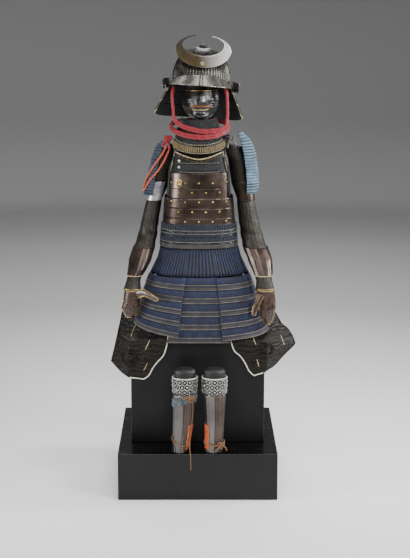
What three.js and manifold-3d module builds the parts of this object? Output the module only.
// A samurai armour set up on its black display stand.
// Millimetres, +Z up, the front towards -Y, and +X is the wearer's left.
// The origin is the middle of the plinth's underside.
import * as THREE from "three";
import { mergeVertices } from "three/addons/utils/BufferGeometryUtils.js";
import Module from "manifold-3d";

// ---------------------------------------------------------------- driving sizes
const GAP = 0.3; // between pieces that meet

const PLINTH = { width: 660, depth: 660, height: 198 };
const BLOCK = { width: 560, front: -170, back: 200, top: 630 };

const IRON = 2; // plate
const LAME = 3; // lacquered lame with its lacing
const CLOTH = 3; // sleeve cloth with its mail
const LEATHER = 4; // thigh guard

// Sections of the cuirass and waist: half width, and depth in front of and behind the middle.
const BODY = [
  { z: 1440, x: 5, y: 15, halfWidth: 122, front: 108, back: 100, power: 2.4 },
  { z: 1334, x: 5, y: 15, halfWidth: 138, front: 122, back: 112, power: 2.4 },
  { z: 1227, x: 5, y: 15, halfWidth: 146, front: 124, back: 114, power: 2.4 },
  { z: 1117, x: 5, y: 15, halfWidth: 154, front: 117, back: 110, power: 2.4 },
  { z: 1015, x: 5, y: 15, halfWidth: 162, front: 119, back: 114, power: 2.4 },
];

// Sections of the skirt of lacing and tassets, which flares over the block.
const SKIRT = [
  { z: 1013, x: 7, y: 15, halfWidth: 162, front: 118, back: 114, power: 2.4 },
  { z: 960, x: 8, y: 15, halfWidth: 176, front: 136, back: 128, power: 2.4 },
  { z: 905, x: 8, y: 15, halfWidth: 203, front: 156, back: 148, power: 2.5 },
  { z: 800, x: 8, y: 15, halfWidth: 243, front: 186, back: 180, power: 2.8 },
  { z: 630, x: 8, y: 15, halfWidth: 292, front: 212, back: 222, power: 3.2 },
];

// Cuirass plates from the top: heights of the upper and lower edge.
const PLATES = [
  { name: "front_plate_1", top: 1334, bottom: 1266.6, halfWidth: 119 },
  { name: "front_plate_2", top: 1266.6, bottom: 1227.3, halfWidth: 119 },
  { name: "hoop_plate_1", top: 1227.3, bottom: 1184.7 },
  { name: "hoop_plate_2", top: 1184.7, bottom: 1141.6 },
  { name: "hoop_plate_3", top: 1141.6, bottom: 1117.3 },
];
const WAIST = [
  { name: "waist_lame_1", top: 1117.3, bottom: 1066, flare: 3 },
  { name: "waist_lame_2", top: 1066, bottom: 1015.3, flare: 3 },
];
const CHEST = { corner: 1421, middle: 1392, topHalfWidth: 100, bottomHalfWidth: 119 };
const BACK_PLATE = { top: 1421, bottom: 1227.3, halfWidth: 112 };
const STRAP = { inner: 58, outer: 106, thickness: 6 };

// Tassets: the bearing of each edge from the front, at the top and at the bottom,
// the heights of the bottom corners, and how far the panel stands off the skirt.
const TASSET_TOP = 903;
const TASSET_LAMES = 5;
const TASSETS = [
  { name: "tasset_front", top: [-22.4, 25.2], bottom: [-33.8, 31], low: [634, 634], off: 0 },
  { name: "tasset_front_right", top: [-80, -19.5], bottom: [-71, -22], low: [700, 655], off: 9 },
  { name: "tasset_front_left", top: [23, 79], bottom: [23.2, 76], low: [643, 665], off: 9 },
  { name: "tasset_side_right", top: [-117, -88], bottom: [-116, -91], low: [668, 676], off: 0 },
  { name: "tasset_side_left", top: [88, 117], bottom: [93, 116], low: [664, 668], off: 0 },
  { name: "tasset_back_right", top: [-178, -120], bottom: [-178, -119], low: [652, 660], off: 0 },
  { name: "tasset_back_left", top: [120, 178], bottom: [119, 178], low: [660, 652], off: 0 },
];
const LACING = { top: 1013, bottom: 905, notchTop: 1003, notchHalf: 2.2 };
const LACING_NOTCHES = [-178.5, -118.5, -84, -22.8, 26, 83.5, 118.5];

// Sleeve sections, shoulder to cuff.
const SLEEVE_RIGHT = [
  { z: 1432, x: -138, y: 15, halfWidth: 27, front: 36, back: 36 },
  { z: 1380, x: -152, y: 15, halfWidth: 35, front: 41, back: 41 },
  { z: 1300, x: -164, y: 14, halfWidth: 36, front: 42, back: 42 },
  { z: 1207, x: -184, y: 12, halfWidth: 33, front: 40, back: 40 },
  { z: 1130, x: -200, y: 6, halfWidth: 35, front: 42, back: 42 },
  { z: 1066, x: -211, y: -2, halfWidth: 39, front: 44, back: 44 },
  { z: 1013, x: -225, y: -22, halfWidth: 44, front: 47, back: 47 },
  { z: 965, x: -240, y: -48, halfWidth: 46, front: 46, back: 46 },
  { z: 927, x: -252, y: -74, halfWidth: 37, front: 40, back: 40 },
  { z: 897, x: -265, y: -94, halfWidth: 29, front: 33, back: 33 },
  { z: 881, x: -270, y: -102, halfWidth: 29, front: 32, back: 32 },
  { z: 847, x: -274, y: -118, halfWidth: 36, front: 34, back: 34 },
];
const SLEEVE_LEFT = [
  { z: 1432, x: 158, y: 15, halfWidth: 33, front: 38, back: 38 },
  { z: 1380, x: 176.5, y: 15, halfWidth: 36.5, front: 43, back: 43 },
  { z: 1300, x: 190, y: 14, halfWidth: 38, front: 44, back: 44 },
  { z: 1207, x: 203, y: 12, halfWidth: 37, front: 42, back: 42 },
  { z: 1130, x: 215, y: 6, halfWidth: 41, front: 44, back: 44 },
  { z: 1066, x: 228, y: -2, halfWidth: 45, front: 46, back: 46 },
  { z: 1013, x: 242, y: -22, halfWidth: 51, front: 50, back: 50 },
  { z: 965, x: 261, y: -48, halfWidth: 50, front: 48, back: 48 },
  { z: 927, x: 270, y: -74, halfWidth: 42, front: 42, back: 42 },
  { z: 899, x: 276, y: -94, halfWidth: 35, front: 36, back: 36 },
  { z: 881, x: 279, y: -102, halfWidth: 33, front: 34, back: 34 },
  { z: 847, x: 283, y: -118, halfWidth: 39, front: 36, back: 36 },
];

// Shoulder guards hang round the outside of the upper arm.
const SHOULDER_GUARD_RIGHT = [
  { z: 1456, x: -126, y: 15, halfWidth: 33, front: 42, back: 42 },
  { z: 1442, x: -133, y: 15, halfWidth: 42, front: 48, back: 48 },
  { z: 1387, x: -149, y: 15, halfWidth: 46, front: 51, back: 51 },
  { z: 1329, x: -160, y: 15, halfWidth: 49, front: 53, back: 53 },
  { z: 1231, x: -180, y: 13, halfWidth: 49, front: 53, back: 53 },
];
const SHOULDER_GUARD_LEFT = [
  { z: 1496, x: 164, y: 15, halfWidth: 21, front: 24, back: 24 },
  { z: 1469, x: 172, y: 15, halfWidth: 44, front: 46, back: 46 },
  { z: 1442, x: 178, y: 15, halfWidth: 54, front: 55, back: 55 },
  { z: 1400, x: 186, y: 15, halfWidth: 59, front: 60, back: 60 },
  { z: 1342, x: 194, y: 15, halfWidth: 60, front: 61, back: 61 },
  { z: 1287, x: 198, y: 14, halfWidth: 60, front: 61, back: 61 },
  { z: 1242, x: 198, y: 13, halfWidth: 57, front: 58, back: 58 },
];

// Hand guards: a curved plate on the back of the hand, and a tongue over the thumb.
const HAND_RIGHT = [
  { z: 844, x: -274, y: -122, halfWidth: 33, front: 31, back: 31 },
  { z: 800, x: -277, y: -124, halfWidth: 36, front: 31, back: 31 },
  { z: 772, x: -279, y: -126, halfWidth: 41, front: 30, back: 30 },
  { z: 748, x: -277, y: -128, halfWidth: 33, front: 26, back: 26 },
  { z: 733, x: -287, y: -130, halfWidth: 14, front: 18, back: 18 },
];
const HAND_LEFT = [
  { z: 844, x: 283, y: -122, halfWidth: 37, front: 33, back: 33 },
  { z: 800, x: 291, y: -124, halfWidth: 35, front: 31, back: 31 },
  { z: 765, x: 294, y: -126, halfWidth: 32, front: 30, back: 30 },
  { z: 735, x: 292, y: -128, halfWidth: 29, front: 26, back: 26 },
  { z: 704, x: 295, y: -130, halfWidth: 12, front: 18, back: 18 },
];
const THUMB_RIGHT = [
  { upper: [-260, -148, 842], lower: [-254, -147, 812] },
  { upper: [-226, -162, 855], lower: [-226, -165, 827] },
  { upper: [-194, -181, 841], lower: [-198, -182, 821] },
  { upper: [-162, -191, 822], lower: [-172, -191, 811] },
];
const THUMB_LEFT = [
  { upper: [254, -148, 836], lower: [278, -152, 826] },
  { upper: [240, -158, 806], lower: [263, -160, 800] },
  { upper: [229, -166, 776], lower: [251, -166, 772] },
  { upper: [225, -170, 750], lower: [240, -170, 747] },
];

// Thigh guards: rows down each panel, from its inner edge to its outer edge. A row runs
// straight across until it is `bend` from the middle, then turns back to its outer edge.
const THIGH_RIGHT = [
  { inner: [-46, -96, 950], outer: [-130, -50, 955], bend: 46 },
  { inner: [-62, -124, 870], outer: [-180, -50, 880], bend: 62 },
  { inner: [-92, -148, 780], outer: [-224, -22, 800], bend: 92 },
  { inner: [-112, -158, 720], outer: [-322, 14, 730], bend: 112 },
  { inner: [-122, -166, 676], outer: [-332, -16, 680], bend: 122 },
  { inner: [-125, -172, 651], outer: [-338, -30, 655], bend: 150 },
  { inner: [-126, -180, 636], outer: [-342, -52, 636], bend: 290 },
  { inner: [-138, -180, 583], outer: [-352, -70, 590], bend: 290 },
  { inner: [-182, -180, 534], outer: [-367, -90, 531], bend: 290 },
  { inner: [-206, -180, 488], outer: [-322, -150, 499], bend: 290 },
  { inner: [-226, -180, 476], outer: [-288, -180, 484], bend: 280 },
];
const THIGH_LEFT = [
  { inner: [56, -96, 950], outer: [140, -50, 955], bend: 56 },
  { inner: [78, -124, 870], outer: [194, -50, 880], bend: 78 },
  { inner: [108, -148, 780], outer: [240, -22, 800], bend: 108 },
  { inner: [122, -158, 720], outer: [332, 20, 722], bend: 122 },
  { inner: [132, -166, 676], outer: [362, 12, 668], bend: 132 },
  { inner: [138, -172, 650], outer: [388, 8, 650], bend: 150 },
  { inner: [140, -180, 636], outer: [404, -56, 634], bend: 290 },
  { inner: [150, -180, 599], outer: [416, -74, 602], bend: 290 },
  { inner: [188, -180, 566], outer: [374, -92, 566], bend: 290 },
  { inner: [216, -180, 508], outer: [322, -146, 524], bend: 290 },
  { inner: [236, -180, 491], outer: [276, -180, 504], bend: 270 },
];

// Leg forms and the guards on them.
const LEG_RIGHT = [
  { z: 514, x: -53, y: -284, halfWidth: 51, front: 43, back: 43 },
  { z: 445, x: -54, y: -285, halfWidth: 48, front: 42, back: 42 },
  { z: 334, x: -60, y: -286, halfWidth: 43, front: 40, back: 40 },
  { z: 198, x: -73, y: -288, halfWidth: 33, front: 38, back: 38 },
];
const LEG_LEFT = [
  { z: 514, x: 69, y: -284, halfWidth: 51, front: 43, back: 43 },
  { z: 445, x: 69, y: -285, halfWidth: 48, front: 42, back: 42 },
  { z: 334, x: 70, y: -286, halfWidth: 40, front: 40, back: 40 },
  { z: 198, x: 67, y: -288, halfWidth: 37, front: 38, back: 38 },
];
const LEG_FORM = { top: 555, inset: 5.5 };
const KNEE = { top: 514, bottom: 446 };
const SHIN = { top: 443, bottom: 198 + GAP };
const GUARD_REACH = 116; // degrees round the leg on each side of the front

// Helmet, in its own frame: the middle of the bowl's rim, tipped a little to the wearer's left.
const HELMET = { x: 13.5, y: 15, z: 1711, roll: 4 };
const BOWL = { halfWidth: 117, front: 126, back: 130, height: 137, hole: 11 };
const VISOR = { reach: 64, root: 30, edge: -11, drop: 11, forward: 44, endForward: 16 };
const CREST = { halfWidth: 113, middle: 132, below: 72, above: 62, y: -149, thickness: 2.4 };
const CREST_BITE = { halfWidth: 84, middle: 155, below: 46, above: 35 };
const CREST_TIP = 33;
const NECK_GUARD = [
  { name: "neck_guard_1", top: -3, bottom: -58, topOut: 4, bottomOut: 26 },
  { name: "neck_guard_2", top: -58, bottom: -114, topOut: 26, bottomOut: 48 },
  { name: "neck_guard_3", top: -114, bottom: -172, topOut: 48, bottomOut: 68 },
];
const NECK_GUARD_FROM = 70; // degrees from the front where the lames begin

// Mask and the throat guard under it.
const MASK = [
  { z: 1676, x: 12, y: -14, halfWidth: 72, front: 88, back: 60, nose: 4 },
  { z: 1655, x: 12, y: -14, halfWidth: 79, front: 94, back: 60, nose: 13 },
  { z: 1632, x: 12, y: -14, halfWidth: 81, front: 96, back: 60, nose: 20 },
  { z: 1612, x: 12, y: -14, halfWidth: 78, front: 97, back: 60, nose: 4 },
  { z: 1590, x: 12, y: -14, halfWidth: 68, front: 96, back: 60, nose: 2 },
  { z: 1572, x: 12, y: -14, halfWidth: 55, front: 97, back: 60, nose: 8 },
  { z: 1559, x: 12, y: -14, halfWidth: 40, front: 88, back: 60, nose: 0 },
];
const MASK_REACH = 88;
const THROAT = [
  { name: "throat_lame_1", top: 1555, bottom: 1500, out: [76, 92], to: [88, 104], rise: 8 },
  { name: "throat_lame_2", top: 1499, bottom: 1449, out: [94, 110], to: [104, 114], rise: 24 },
  { name: "throat_lame_3", top: 1448, bottom: 1417, out: [110, 120], to: [117, 124], rise: 28 },
];
const THROAT_MIDDLE = { x: 6, y: -8 };
const THROAT_REACH = 72;

// The breast ring hangs in the eye of its rosette, on the upper front plate.
const RING = { x: -75, z: 1297, radius: 11, wire: 1.5 };
const ROSETTE = { radius: 12, thickness: 1.6, eyeRadius: 3.4, eyeWire: 0.9 };

// Cords: hand-placed routes.
const CHIN_CORD = {
  radius: 6,
  route: [
    [-100, -58, 1684], [-106, -78, 1652], [-101, -84, 1594], [-97, -86, 1558], [-62, -110, 1530],
    [-22, -126, 1519], [10, -129, 1511], [60, -123, 1511], [110, -100, 1522], [122, -86, 1556],
    [121, -78, 1652], [112, -58, 1684],
  ],
};
const NECK_CORD = {
  radius: 6,
  route: [
    [10, 104, 1538], [-70, 72, 1536], [-108, 0, 1530], [-108, -60, 1517], [-68, -110, 1498],
    [-17, -129, 1489], [30, -131, 1487], [84, -112, 1494], [124, -66, 1514], [126, 0, 1530],
    [88, 72, 1536], [14, 104, 1538],
  ],
};
// On the right shoulder guard: bearing round the guard at each height, down and up again.
const SHOULDER_CORD = {
  radius: 4,
  off: 5,
  stations: [
    { z: 1440, bearing: 4 }, { z: 1396, bearing: -10 }, { z: 1352, bearing: -34 },
    { z: 1300, bearing: -66 }, { z: 1262, bearing: -84 }, { z: 1252, bearing: -68 },
    { z: 1294, bearing: -38 }, { z: 1338, bearing: -8 }, { z: 1383, bearing: 12 },
    { z: 1434, bearing: 22 },
  ],
};
const LEG_CORD_RIGHT = {
  radius: 2,
  route: [
    [-24, -321, 425], [-20, -318, 398], [-21, -316, 360], [-27, -317, 310], [-31, -318, 262],
    [-33, -322, 226], [-32, -329, 206], [-30, -334, 196], [-29, -336, 170], [-28, -336, 132],
  ],
};
const LEG_CORD_LEFT = { radius: 3, off: 4, front: 232, back: 244, reach: 150 };

// ---------------------------------------------------------------- shape helpers
const vector = (x, y, z) => new THREE.Vector3(x, y, z);
const radians = THREE.MathUtils.degToRad;
const blend = THREE.MathUtils.lerp;

// The section of a table (rows from the top down) at height z.
function sectionAt(table, z) {
  let upper = 0;
  while (upper < table.length - 2 && z < table[upper + 1].z) {
    upper += 1;
  }
  const above = table[upper];
  const below = table[upper + 1];
  const share = (z - above.z) / (below.z - above.z);
  const section = {};
  for (const column of Object.keys(above)) {
    section[column] = blend(above[column], below[column], share);
  }
  section.z = z;
  return section;
}

// The point of a section at a bearing: 0 is the front, 90 the wearer's left.
function pointAt(section, bearing, off = 0) {
  const side = Math.sin(radians(bearing));
  const ahead = Math.cos(radians(bearing));
  const power = section.power ?? 2;
  const depth = (ahead > 0 ? section.front : section.back) + off;
  const across = Math.abs(side) / (section.halfWidth + off);
  const along = Math.abs(ahead) / depth;
  const radius = (across ** power + along ** power) ** (-1 / power);
  return vector(section.x + side * radius, section.y - ahead * radius, section.z);
}

// Bearings from one to another, both ends included.
function bearings(from, to, count) {
  return Array.from({ length: count + 1 }, (_, i) => blend(from, to, i / count));
}

// Normals of a grid whose rows run down and whose columns run towards larger bearings.
function normalsOf(grid, loop) {
  const last = grid[0].length - 1;
  return grid.map((row, i) => row.map((_, j) => {
    const above = grid[Math.max(i - 1, 0)][j];
    const below = grid[Math.min(i + 1, grid.length - 1)][j];
    const before = row[loop ? (j + last) % (last + 1) : Math.max(j - 1, 0)];
    const after = row[loop ? (j + 1) % (last + 1) : Math.min(j + 1, last)];
    const down = below.clone().sub(above);
    const across = after.clone().sub(before);
    return down.cross(across).normalize();
  }));
}

function geometryOf(points, faces) {
  const geometry = new THREE.BufferGeometry();
  const values = points.flatMap((point) => [point.x, point.y, point.z]);
  geometry.setAttribute("position", new THREE.Float32BufferAttribute(values, 3));
  geometry.setIndex(faces.flat());
  geometry.computeVertexNormals();
  return geometry;
}

// A closed wall: the outer grid, and the same grid moved in by the thickness.
function wall(grid, thickness, loop = false) {
  const rows = grid.length;
  const columns = grid[0].length;
  const normals = normalsOf(grid, loop);
  const inner = grid.map((row, i) => row.map((point, j) => (
    point.clone().addScaledVector(normals[i][j], -thickness)
  )));
  const points = [...grid.flat(), ...inner.flat()];
  const outside = (i, j) => i * columns + (j % columns);
  const inside = (i, j) => rows * columns + outside(i, j);
  const faces = [];
  const quad = (a, b, c, d) => faces.push([a, b, c], [a, c, d]);
  const spans = loop ? columns : columns - 1;
  for (let j = 0; j < spans; j += 1) {
    for (let i = 0; i < rows - 1; i += 1) {
      quad(outside(i, j), outside(i + 1, j), outside(i + 1, j + 1), outside(i, j + 1));
      quad(inside(i, j), inside(i, j + 1), inside(i + 1, j + 1), inside(i + 1, j));
    }
    quad(outside(0, j), outside(0, j + 1), inside(0, j + 1), inside(0, j));
    quad(outside(rows - 1, j + 1), outside(rows - 1, j), inside(rows - 1, j), inside(rows - 1, j + 1));
  }
  if (!loop) {
    const end = columns - 1;
    for (let i = 0; i < rows - 1; i += 1) {
      quad(outside(i + 1, 0), outside(i, 0), inside(i, 0), inside(i + 1, 0));
      quad(outside(i, end), outside(i + 1, end), inside(i + 1, end), inside(i, end));
    }
  }
  return geometryOf(points, faces);
}

// A solid through closed rings, from the top down, with flat ends.
function loft(rings) {
  const columns = rings[0].length;
  const points = rings.flat();
  const middle = (ring) => ring.reduce((sum, p) => sum.add(p), vector(0, 0, 0)).divideScalar(columns);
  const top = points.push(middle(rings[0])) - 1;
  const bottom = points.push(middle(rings[rings.length - 1])) - 1;
  const at = (i, j) => i * columns + (j % columns);
  const faces = [];
  for (let j = 0; j < columns; j += 1) {
    for (let i = 0; i < rings.length - 1; i += 1) {
      faces.push([at(i, j), at(i + 1, j), at(i + 1, j + 1)]);
      faces.push([at(i, j), at(i + 1, j + 1), at(i, j + 1)]);
    }
    faces.push([top, at(0, j), at(0, j + 1)]);
    faces.push([bottom, at(rings.length - 1, j + 1), at(rings.length - 1, j)]);
  }
  return geometryOf(points, faces);
}

// A ring of points all round a section.
function ringOf(section, count, off = 0) {
  return bearings(-180, 180, count).slice(0, -1).map((bearing) => pointAt(section, bearing, off));
}

// A tube of round section along a route.
function tube(route, radius, steps, sides = 8) {
  const path = new THREE.CatmullRomCurve3(route.map((p) => vector(...p)), false, "centripetal");
  const section = new THREE.Shape();
  for (let i = 0; i < sides; i += 1) {
    const turn = (i / sides) * 2 * Math.PI;
    const at = [Math.cos(turn) * radius, Math.sin(turn) * radius];
    if (i === 0) {
      section.moveTo(...at);
    } else {
      section.lineTo(...at);
    }
  }
  return new THREE.ExtrudeGeometry(section, { extrudePath: path, steps, bevelEnabled: false });
}

// ---------------------------------------------------------------- joining solids
const wasm = await Module();
wasm.setup();

function manifoldOf(geometry) {
  const bare = geometry.clone();
  bare.deleteAttribute("normal");
  bare.deleteAttribute("uv");
  const merged = mergeVertices(bare, 1e-3);
  return new wasm.Manifold(new wasm.Mesh({
    numProp: 3,
    vertProperties: new Float32Array(merged.attributes.position.array),
    triVerts: new Uint32Array(merged.index.array),
  }));
}

function joined(...geometries) {
  const solid = geometries.map(manifoldOf).reduce((sum, next) => sum.add(next));
  const mesh = solid.getMesh();
  const geometry = new THREE.BufferGeometry();
  geometry.setAttribute("position", new THREE.BufferAttribute(mesh.vertProperties, 3));
  geometry.setIndex(new THREE.BufferAttribute(mesh.triVerts, 1));
  geometry.computeVertexNormals();
  return geometry;
}

function box(width, depth, height, x, y, z) {
  return new THREE.BoxGeometry(width, depth, height).translate(x, y, z);
}

// ---------------------------------------------------------------- materials
const finish = (color, roughness, metalness) => (
  () => new THREE.MeshStandardMaterial({ color, roughness, metalness })
);
const blackGloss = finish(0x08090a, 0.12, 0);
const darkIron = finish(0x2e2c2b, 0.38, 0.8);
const russetIron = finish(0x55453c, 0.42, 0.7);
const gilt = finish(0x8b7446, 0.35, 0.8);
const greyIron = finish(0x77716a, 0.4, 0.7);
const blackLacquer = finish(0x101011, 0.25, 0);
const navyLacing = finish(0x1c2a55, 0.8, 0);
const blueLacing = finish(0x3c5a74, 0.8, 0);
const paleBlueLacing = finish(0x8fb0c4, 0.8, 0);
const mailCloth = finish(0x1b1a18, 0.7, 0.3);
const brownLeather = finish(0x3a3024, 0.6, 0);
const crimsonSilk = finish(0xb4284c, 0.7, 0);
const orangeSilk = finish(0xa8432a, 0.7, 0);
const brownCord = finish(0x6b4a26, 0.8, 0);
const greenBronze = finish(0x6f6546, 0.35, 0.7);

const armour = new THREE.Group();

function add(name, geometry, material, group = armour) {
  const mesh = new THREE.Mesh(geometry, material());
  mesh.name = name;
  group.add(mesh);
  return mesh;
}

// ---------------------------------------------------------------- stand
function standPieces() {
  const plinth = box(PLINTH.width, PLINTH.depth, PLINTH.height, 0, 0, PLINTH.height / 2);
  add("plinth", plinth, blackGloss);
  const depth = BLOCK.back - BLOCK.front;
  const height = BLOCK.top - PLINTH.height - GAP;
  const middle = (BLOCK.back + BLOCK.front) / 2;
  add("seat_block", box(BLOCK.width, depth, height, 0, middle, BLOCK.top - height / 2), blackGloss);

  const post = box(56, 44, 930, 8, 22, BLOCK.top + GAP + 465);
  const bar = box(196, 44, 34, 5, 18, 1412);
  const head = loft([
    { z: 1830, halfWidth: 22 }, { z: 1812, halfWidth: 48 }, { z: 1770, halfWidth: 68 },
    { z: 1715, halfWidth: 70 }, { z: 1650, halfWidth: 52 }, { z: 1600, halfWidth: 34 },
    { z: 1540, halfWidth: 30 },
  ].map((row) => ringOf({ ...row, x: 16, y: 22, front: row.halfWidth, back: row.halfWidth }, 16)));
  add("armour_stand", joined(post, bar, head), blackLacquer);

  for (const [name, table] of [["leg_form_right", LEG_RIGHT], ["leg_form_left", LEG_LEFT]]) {
    const rows = [
      { z: LEG_FORM.top, off: -38 }, { z: LEG_FORM.top - 4, off: -24 },
      { z: LEG_FORM.top - 14, off: -13 }, { z: LEG_FORM.top - 30, off: -LEG_FORM.inset - 1 },
      { z: 500, off: -LEG_FORM.inset }, { z: 445, off: -LEG_FORM.inset },
      { z: 334, off: -LEG_FORM.inset }, { z: PLINTH.height + GAP, off: -LEG_FORM.inset },
    ];
    const rings = rows.map((row) => ringOf(sectionAt(table, Math.min(row.z, 514)), 16, row.off));
    rings.forEach((ring, i) => ring.forEach((point) => point.setZ(rows[i].z)));
    add(name, loft(rings), blackGloss);
  }
}

// ---------------------------------------------------------------- cuirass and waist
// A panel of the body between two heights, reaching a half width on each side of the middle.
function bodyPanel({ top, bottom, widths, rows = 3, columns = 12, off = 0, facing = 1, dip = 0 }) {
  const grid = [];
  for (let i = 0; i < rows; i += 1) {
    const share = i / (rows - 1);
    const halfWidth = blend(widths[0], widths[1], share);
    const row = [];
    for (let j = 0; j <= columns; j += 1) {
      const across = blend(-1, 1, j / columns) * facing;
      const lowered = dip * (1 - share) * (1 - Math.abs(across) ** 1.5);
      const section = sectionAt(BODY, blend(top, bottom, share) - lowered);
      const depth = (facing > 0 ? section.front : section.back) + off;
      const x = across * halfWidth;
      const reach = 1 - Math.abs(x / (section.halfWidth + off)) ** section.power;
      const y = section.y - facing * depth * reach ** (1 / section.power);
      row.push(vector(section.x + x, y, section.z));
    }
    grid.push(row);
  }
  return grid;
}

function hoop(top, bottom, flare = 0, count = 32) {
  return [
    ringOf(sectionAt(BODY, top - GAP / 2), count),
    ringOf(sectionAt(BODY, bottom + GAP), count, flare),
  ];
}

function cuirass() {
  const chest = bodyPanel({
    top: CHEST.corner,
    bottom: PLATES[0].top + GAP,
    widths: [CHEST.topHalfWidth, CHEST.bottomHalfWidth],
    dip: CHEST.corner - CHEST.middle,
    rows: 4,
  });
  add("chest_plate", wall(chest, IRON), blackLacquer);
  for (const plate of PLATES) {
    if (plate.halfWidth) {
      const widths = [plate.halfWidth, plate.halfWidth];
      const panel = bodyPanel({ top: plate.top, bottom: plate.bottom + GAP, widths, rows: 2 });
      add(plate.name, wall(panel, IRON), russetIron);
    } else {
      add(plate.name, wall(hoop(plate.top, plate.bottom), IRON, true), russetIron);
    }
  }
  const widths = [BACK_PLATE.halfWidth, BACK_PLATE.halfWidth];
  const back = bodyPanel({
    top: BACK_PLATE.top, bottom: BACK_PLATE.bottom + GAP, widths, rows: 4, facing: -1,
  });
  add("back_plate", wall(back, IRON), russetIron);
  for (const lame of WAIST) {
    add(lame.name, wall(hoop(lame.top, lame.bottom, lame.flare), LAME, true), blueLacing);
  }
  shoulderStrap("shoulder_strap_right", -1);
  shoulderStrap("shoulder_strap_left", 1);
}

// From the top of the chest plate, over the shoulder bar, to the top of the back plate.
function shoulderStrap(name, side) {
  const stations = [
    { y: -80, z: 1427 }, { y: -62, z: 1434 }, { y: -20, z: 1440 }, { y: 20, z: 1441 },
    { y: 60, z: 1439 }, { y: 92, z: 1432 }, { y: 102, z: 1427 },
  ];
  const edges = side > 0 ? [STRAP.inner, STRAP.outer] : [-STRAP.outer, -STRAP.inner];
  const grid = stations.map(({ y, z }) => edges.map((x) => vector(BODY[0].x + x, y, z)));
  const turned = grid.map((row) => row.slice().reverse());
  add(name, wall(turned, STRAP.thickness), blackLacquer);
}

function breastRing() {
  const plate = sectionAt(BODY, RING.z);
  const across = RING.x - plate.x;
  const depthAt = (x) => (
    plate.front * (1 - Math.abs(x / plate.halfWidth) ** plate.power) ** (1 / plate.power)
  );
  const turn = Math.atan2(depthAt(across - 5) - depthAt(across + 5), 10);
  const mount = new THREE.Group();
  mount.position.set(RING.x, plate.y - depthAt(across), RING.z);
  mount.rotation.z = turn;
  armour.add(mount);

  const standOff = 0.8;
  const disc = new THREE.CylinderGeometry(ROSETTE.radius, ROSETTE.radius, ROSETTE.thickness, 20);
  disc.translate(0, -standOff - ROSETTE.thickness / 2, 0);
  const eye = new THREE.TorusGeometry(ROSETTE.eyeRadius, ROSETTE.eyeWire, 8, 16);
  const eyeOut = standOff + ROSETTE.thickness + ROSETTE.eyeRadius - ROSETTE.eyeWire / 2;
  eye.rotateY(Math.PI / 2).translate(0, -eyeOut, 0);
  add("ring_rosette", joined(disc, eye), gilt, mount);

  const ring = new THREE.TorusGeometry(RING.radius, RING.wire, 8, 20);
  ring.rotateX(Math.PI / 2).translate(0, -eyeOut, -RING.radius);
  add("breast_ring", ring, gilt, mount);
}

// ---------------------------------------------------------------- skirt
// A row of lacing from the waist to the tassets, open in a notch between each two panels.
function skirtLacing() {
  const stops = LACING_NOTCHES.map((middle, i) => {
    const next = LACING_NOTCHES[i + 1] ?? LACING_NOTCHES[0] + 360;
    return [middle, next];
  });
  const columns = [];
  for (const [middle, next] of stops) {
    const half = LACING.notchHalf;
    columns.push({ bearing: middle - half + 0.4, bottom: LACING.notchTop });
    columns.push({ bearing: middle + half - 0.4, bottom: LACING.notchTop });
    const steps = Math.max(3, Math.round((next - middle) / 11));
    for (const bearing of bearings(middle + half, next - half, steps)) {
      columns.push({ bearing, bottom: LACING.bottom });
    }
  }
  const grid = [0, 1].map((share) => columns.map(({ bearing, bottom }) => (
    pointAt(sectionAt(SKIRT, blend(LACING.top, bottom, share)), bearing)
  )));
  add("skirt_lacing", wall(grid, LAME, true), navyLacing);
}

// Each lame of a tasset stands out a little at its lower edge, over the one below.
function tasset(panel) {
  const grid = [];
  const step = 4;
  for (let lame = 0; lame < TASSET_LAMES; lame += 1) {
    for (const [part, out] of [[0.04, 0], [1, step]]) {
      const share = (lame + part) / TASSET_LAMES;
      const from = blend(panel.top[0], panel.bottom[0], share);
      const to = blend(panel.top[1], panel.bottom[1], share);
      const count = Math.max(6, Math.round((to - from) / 9));
      grid.push(bearings(from, to, count).map((bearing, j) => {
        const low = blend(panel.low[0], panel.low[1], j / count);
        const z = blend(TASSET_TOP, low, share);
        return pointAt(sectionAt(SKIRT, z), bearing, panel.off + out);
      }));
    }
  }
  const columns = Math.min(...grid.map((row) => row.length));
  return grid.map((row) => row.slice(0, columns));
}

function skirt() {
  skirtLacing();
  for (const panel of TASSETS) {
    add(panel.name, wall(tasset(panel), LAME), navyLacing);
  }
}

function thighGuard(name, table, side) {
  const across = 7;
  const grid = table.map(({ inner, outer, bend }) => {
    const row = [];
    for (let j = 0; j <= across; j += 1) {
      const share = j / across;
      const point = vector(...inner).lerp(vector(...outer), share);
      const turned = (Math.abs(point.x) - bend) / (Math.abs(outer[0]) - bend);
      point.y = blend(inner[1], outer[1], Math.max(0, turned));
      row.push(point);
    }
    return side > 0 ? row : row.reverse();
  });
  add(name, wall(grid, LEATHER), brownLeather);
}

// ---------------------------------------------------------------- arms
// A panel of a limb's table between two heights and two bearings.
function limbPanel(table, { heights, from, to, off, count = 10 }) {
  return heights.map((z) => (
    bearings(from, to, count).map((bearing) => pointAt(sectionAt(table, z), bearing, off))
  ));
}

function heightsOf(table) {
  return table.map((row) => row.z);
}

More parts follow.
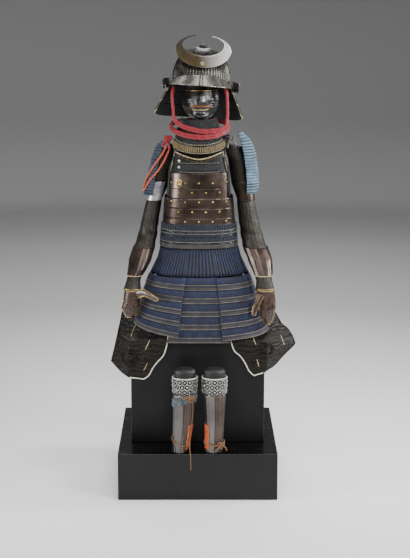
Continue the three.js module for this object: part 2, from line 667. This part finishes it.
function arm(side, label, sleeve, guard, hand, thumb, guardBearings) {
  const rings = sleeve.map((row) => ringOf(row, 16));
  add(`sleeve_${label}`, wall(rings, CLOTH, true), mailCloth);
  const outward = (from, to) => (side > 0 ? [from, to] : [-to, -from]);

  const [upperFrom, upperTo] = outward(-50, 150);
  const upper = limbPanel(sleeve, {
    heights: [1290, 1250, 1208], from: upperFrom, to: upperTo, off: 3.5,
  });
  add(`upper_arm_plate_${label}`, wall(upper, IRON), russetIron);

  const [foreFrom, foreTo] = outward(-64, 116);
  const fore = limbPanel(sleeve, {
    heights: [1012, 985, 965, 945, 927, 903], from: foreFrom, to: foreTo, off: 4,
  });
  add(`forearm_plate_${label}`, wall(fore, IRON), russetIron);

  const shoulder = limbPanel(guard, {
    heights: heightsOf(guard), from: guardBearings[0], to: guardBearings[1], off: 0, count: 14,
  });
  add(`shoulder_guard_${label}`, wall(shoulder, LAME), side > 0 ? paleBlueLacing : blueLacing);

  const back = limbPanel(hand, { heights: heightsOf(hand), from: -84, to: 84, off: 0 });
  const tongue = thumb.map(({ upper: high, lower: low }) => (
    [0, 0.5, 1].map((share) => {
      const point = vector(...high).lerp(vector(...low), share);
      point.y -= 4 * share * (1 - share) * 4;
      return point;
    })
  ));
  const turned = side > 0 ? tongue : tongue.map((row) => row.slice().reverse());
  add(`hand_guard_${label}`, joined(wall(back, LAME), wall(turned, LAME)), brownLeather);
}

// ---------------------------------------------------------------- legs
function leg(label, table) {
  const reach = { from: -GUARD_REACH, to: GUARD_REACH };
  const middle = (KNEE.top + KNEE.bottom) / 2;
  const knee = limbPanel(table, { heights: [KNEE.top, middle, KNEE.bottom], ...reach, off: 0, count: 14 });
  add(`knee_guard_${label}`, wall(knee, LAME), greyIron);
  const heights = [SHIN.top, 390, 334, 266, SHIN.bottom];
  const shin = limbPanel(table, { heights, ...reach, off: 0, count: 14 });
  add(`shin_guard_${label}`, wall(shin, IRON), greyIron);
}

function legCords() {
  add("leg_cord_right", tube(LEG_CORD_RIGHT.route, LEG_CORD_RIGHT.radius, 32), brownCord);
  const { reach, radius, off, front, back } = LEG_CORD_LEFT;
  const route = bearings(-reach, reach, 16).map((bearing) => {
    const z = blend(front, back, Math.abs(bearing) / reach);
    return pointAt(sectionAt(LEG_LEFT, z), bearing, off).toArray();
  });
  add("leg_cord_left", tube(route, radius, 28), brownCord);
}

// ---------------------------------------------------------------- helmet
function helmet() {
  const group = new THREE.Group();
  group.position.set(HELMET.x, HELMET.y, HELMET.z);
  group.rotation.y = radians(HELMET.roll);
  armour.add(group);
  const rim = { x: 0, y: 0, halfWidth: BOWL.halfWidth, front: BOWL.front, back: BOWL.back };
  const sized = (scale, z, out = 0) => ({
    ...rim,
    z,
    halfWidth: rim.halfWidth * scale + out,
    front: rim.front * scale + out,
    back: rim.back * scale + out,
  });

  const dome = bearings(0, 90, 7).map((climb) => {
    const scale = Math.max(Math.cos(radians(climb)) ** 0.82, BOWL.hole / BOWL.halfWidth);
    return sized(scale, BOWL.height * Math.sin(radians(climb)) ** 0.95);
  });
  const bowl = dome.reverse().map((section) => ringOf(section, 32));
  add("helmet_bowl", wall(bowl, IRON, true), darkIron, group);

  const crown = BOWL.height + GAP;
  const stack = [
    { up: 14, radius: 5 }, { up: 13, radius: 9 }, { up: 10.5, radius: 11 },
    { up: 8, radius: 14 }, { up: 0, radius: 18 },
  ];
  const finial = stack.map(({ up, radius }) => ringOf(
    { x: 0, y: 0, z: crown + up, halfWidth: radius, front: radius, back: radius },
    16,
  ));
  add("helmet_finial", loft(finial), gilt, group);

  const visorRows = [0, 0.5, 1].map((share) => (
    bearings(-VISOR.reach, VISOR.reach, 16).map((bearing) => {
      const side = (Math.abs(bearing) / VISOR.reach) ** 2;
      const forward = blend(VISOR.forward, VISOR.endForward, side) * share;
      const root = blend(VISOR.root, VISOR.root - 26, side);
      const edge = blend(VISOR.edge, VISOR.edge - VISOR.drop, side);
      return pointAt(sized(1, blend(root, edge, share), 4 + forward), bearing);
    })
  ));
  add("helmet_visor", wall(visorRows, IRON), darkIron, group);

  for (const lame of NECK_GUARD) {
    const rows = [lame.top - GAP, lame.bottom + GAP].map((z, i) => (
      bearings(NECK_GUARD_FROM, 360 - NECK_GUARD_FROM, 28).map((bearing) => {
        const towardsFront = Math.abs(bearing - 180) / (180 - NECK_GUARD_FROM);
        const lift = (-z / 172) * 44 * towardsFront ** 3;
        return pointAt(sized(1, z + lift, i === 0 ? lame.topOut : lame.bottomOut - 1), bearing);
      })
    ));
    add(lame.name, wall(rows, LAME), blackLacquer, group);
  }

  for (const [name, side] of [["turnback_right", -1], ["turnback_left", 1]]) {
    const rows = [8, -12, -32].map((z) => (
      [0, 0.5, 1].map((share) => {
        const out = 128 + 30 * share;
        const forward = -56 - 26 * share ** 1.5;
        return vector(side * out, forward, z - 4 * share);
      })
    ));
    const turned = side > 0 ? rows : rows.map((row) => row.slice().reverse());
    add(name, wall(turned, LAME), blackLacquer, group);
  }

  add("helmet_crest", crest(), greenBronze, group);
}

// A crescent between two ellipses, cut from sheet.
function crest() {
  const outer = (x, above) => (above ? CREST.above : CREST.below) * Math.sqrt(1 - (x / CREST.halfWidth) ** 2);
  const start = Math.asin(CREST_TIP / CREST.halfWidth);
  const bite = Math.asin(CREST_TIP / CREST_BITE.halfWidth);
  const rows = bearings(0, 1, 28).map((share) => {
    const turn = blend(start, 2 * Math.PI - start, share);
    const x = -CREST.halfWidth * Math.sin(turn);
    const z = CREST.middle + (Math.cos(turn) > 0 ? 1 : -1) * outer(x, Math.cos(turn) > 0);
    const inTurn = blend(bite, 2 * Math.PI - bite, share);
    const inX = -CREST_BITE.halfWidth * Math.sin(inTurn);
    const height = Math.cos(inTurn) > 0 ? CREST_BITE.above : CREST_BITE.below;
    const inZ = CREST_BITE.middle + height * Math.cos(inTurn);
    return [vector(x, CREST.y, z), vector(inX, CREST.y, inZ)];
  });
  return wall(rows, CREST.thickness);
}

// ---------------------------------------------------------------- mask and throat guard
function mask() {
  const rows = MASK.map((section) => (
    bearings(-MASK_REACH, MASK_REACH, 22).map((bearing) => {
      const point = pointAt({ ...section, power: 2.2 }, bearing);
      point.y -= section.nose * Math.exp(-((bearing / 9) ** 2));
      return point;
    })
  ));
  add("face_mask", wall(rows, IRON), blackLacquer);
  for (const lame of THROAT) {
    const edges = [
      { z: lame.top - GAP, halfWidth: lame.out[0], front: lame.out[1] },
      { z: lame.bottom, halfWidth: lame.to[0], front: lame.to[1] },
    ];
    const grid = edges.map((edge) => (
      bearings(-THROAT_REACH, THROAT_REACH, 16).map((bearing) => {
        const lift = lame.rise * (Math.abs(bearing) / THROAT_REACH) ** 2;
        const section = { ...THROAT_MIDDLE, ...edge, back: edge.front, z: edge.z + lift };
        return pointAt(section, bearing);
      })
    ));
    add(lame.name, wall(grid, LAME), lame.name === "throat_lame_3" ? gilt : blueLacing);
  }
}

function silkCords() {
  add("chin_cord", tube(CHIN_CORD.route, CHIN_CORD.radius, 32), crimsonSilk);
  add("neck_cord", tube(NECK_CORD.route, NECK_CORD.radius, 36), crimsonSilk);
  const route = SHOULDER_CORD.stations.map(({ z, bearing }) => (
    pointAt(sectionAt(SHOULDER_GUARD_RIGHT, z), bearing, SHOULDER_CORD.off).toArray()
  ));
  add("shoulder_cord_right", tube(route, SHOULDER_CORD.radius, 32), orangeSilk);
}

standPieces();
cuirass();
breastRing();
skirt();
thighGuard("thigh_guard_right", THIGH_RIGHT, -1);
thighGuard("thigh_guard_left", THIGH_LEFT, 1);
arm(-1, "right", SLEEVE_RIGHT, SHOULDER_GUARD_RIGHT, HAND_RIGHT, THUMB_RIGHT, [-176, -14]);
arm(1, "left", SLEEVE_LEFT, SHOULDER_GUARD_LEFT, HAND_LEFT, THUMB_LEFT, [8, 172]);
leg("right", LEG_RIGHT);
leg("left", LEG_LEFT);
legCords();
helmet();
mask();
silkCords();

export default armour;
